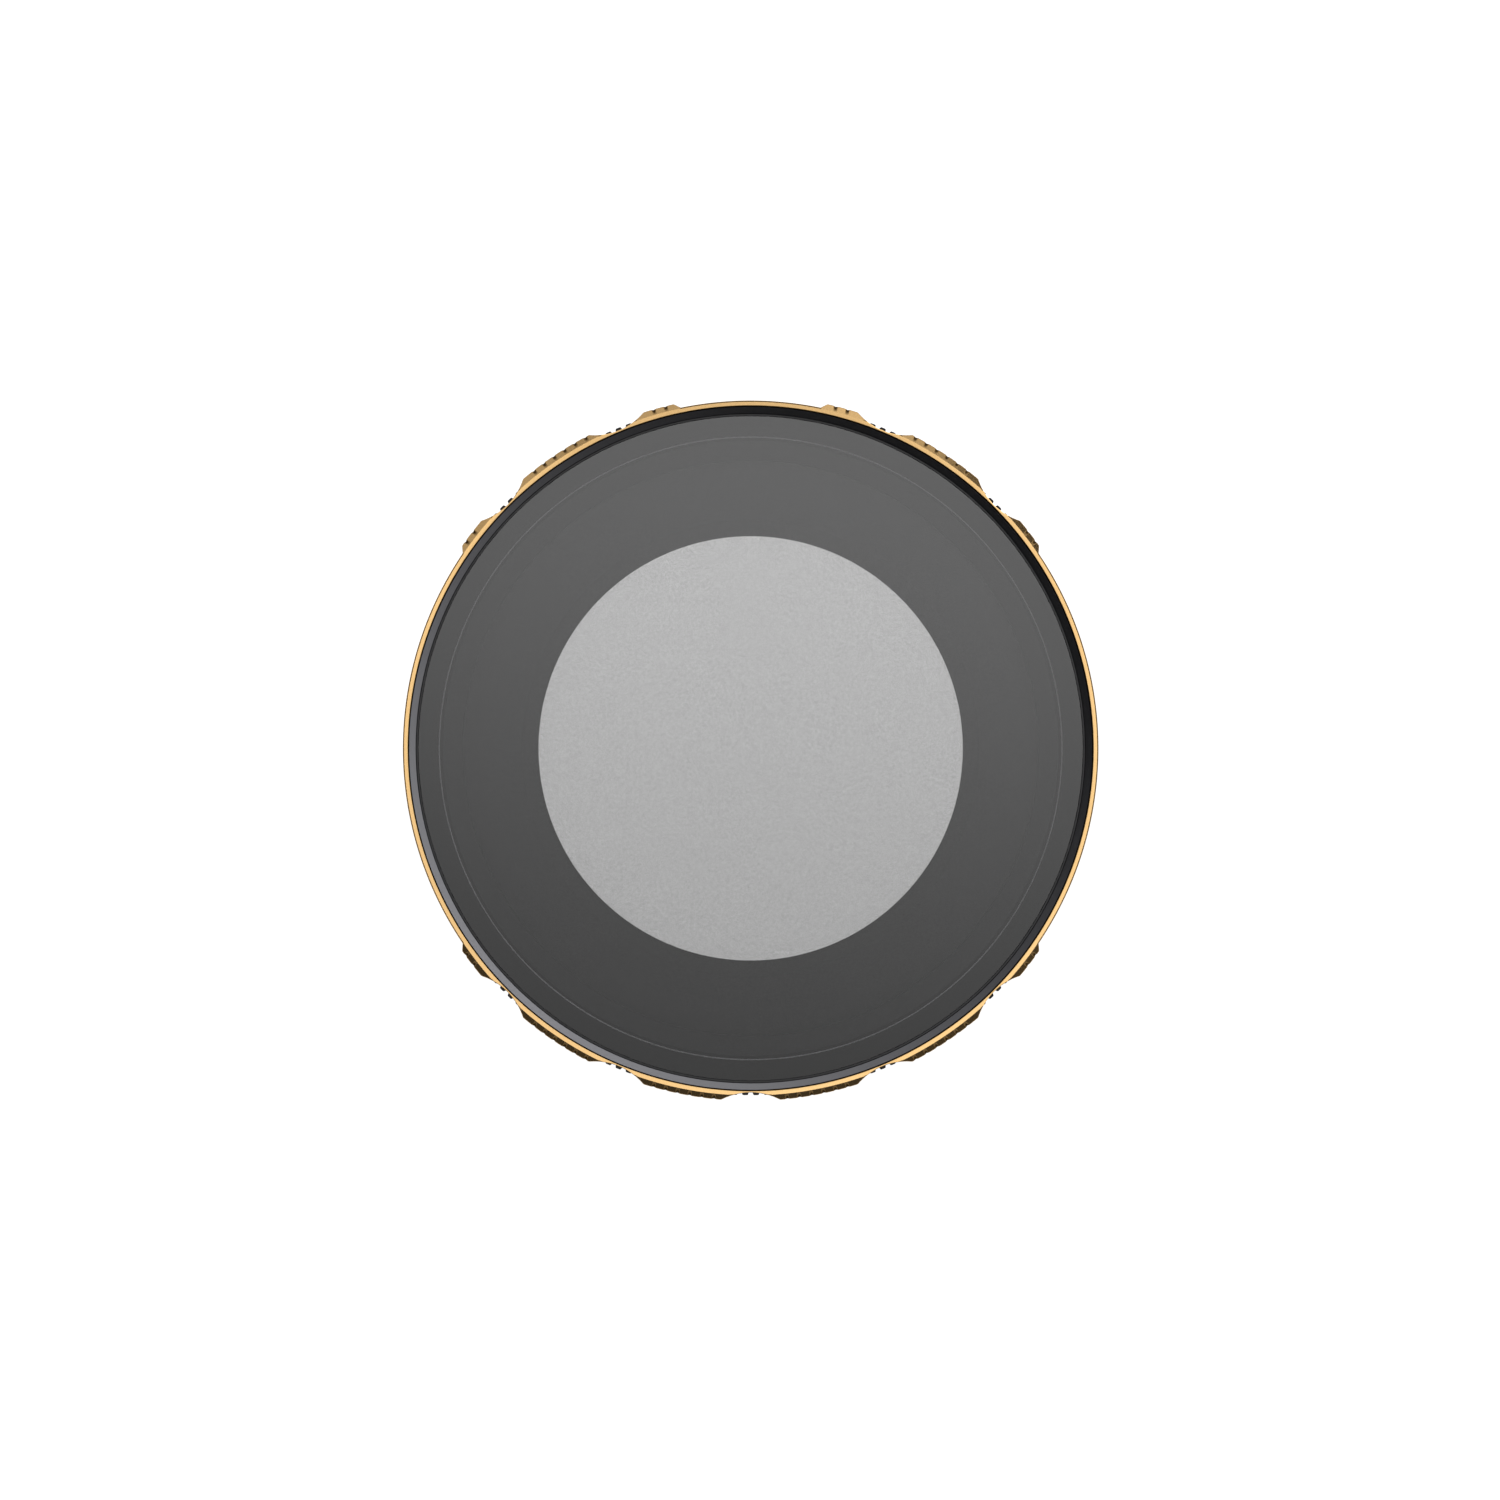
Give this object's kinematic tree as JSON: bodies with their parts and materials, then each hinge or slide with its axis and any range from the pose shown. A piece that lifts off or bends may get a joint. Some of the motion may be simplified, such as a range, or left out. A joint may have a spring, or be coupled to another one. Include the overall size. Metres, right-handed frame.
{
  "type": "phone variable nd filter",
  "caption": "Round variable neutral-density filter for a phone camera: a scalloped gold grip ring turns a front polariser over a fixed rear polariser on a black bayonet base.",
  "frame": {"origin": "centre of the rear face that the filter lies on, on the optical axis", "axes": "+Z along the optical axis from the rear bayonet to the front glass; +Y towards the smooth zone at the top of the grip ring; +X to the right as seen from the front"},
  "size_m": [0.046, 0.0462, 0.0104],
  "materials": {
    "gold_anodised": "satin",
    "black_anodised": "satin",
    "coated_glass": "gloss",
    "clear_glass": "gloss",
    "polarising_film": "gloss",
    "retarder_film": "gloss",
    "washer_plastic": "satin",
    "pin_steel": "satin"
  },
  "bodies": {
    "base": {"mount_base": "black_anodised", "rear_backing_glass": "coated_glass", "rear_retarder_film": "retarder_film", "rear_polarising_film": "polarising_film", "rear_cover_glass": "clear_glass", "rear_retaining_ring": "black_anodised", "glide_washer": "washer_plastic", "stop_pin": "pin_steel"},
    "front": {"front_frame": "black_anodised", "front_backing_glass": "clear_glass", "front_polarising_film": "polarising_film", "front_cover_glass": "coated_glass", "front_bezel": "black_anodised", "grip_ring": "gold_anodised"}
  },
  "joints": [
    {"name": "density_turn", "type": "hinge", "parent": "base", "child": "front", "pos_m": [0, 0, 0.0063], "axis": [0, 0, 1], "range_deg": [0, 70]}
  ]
}
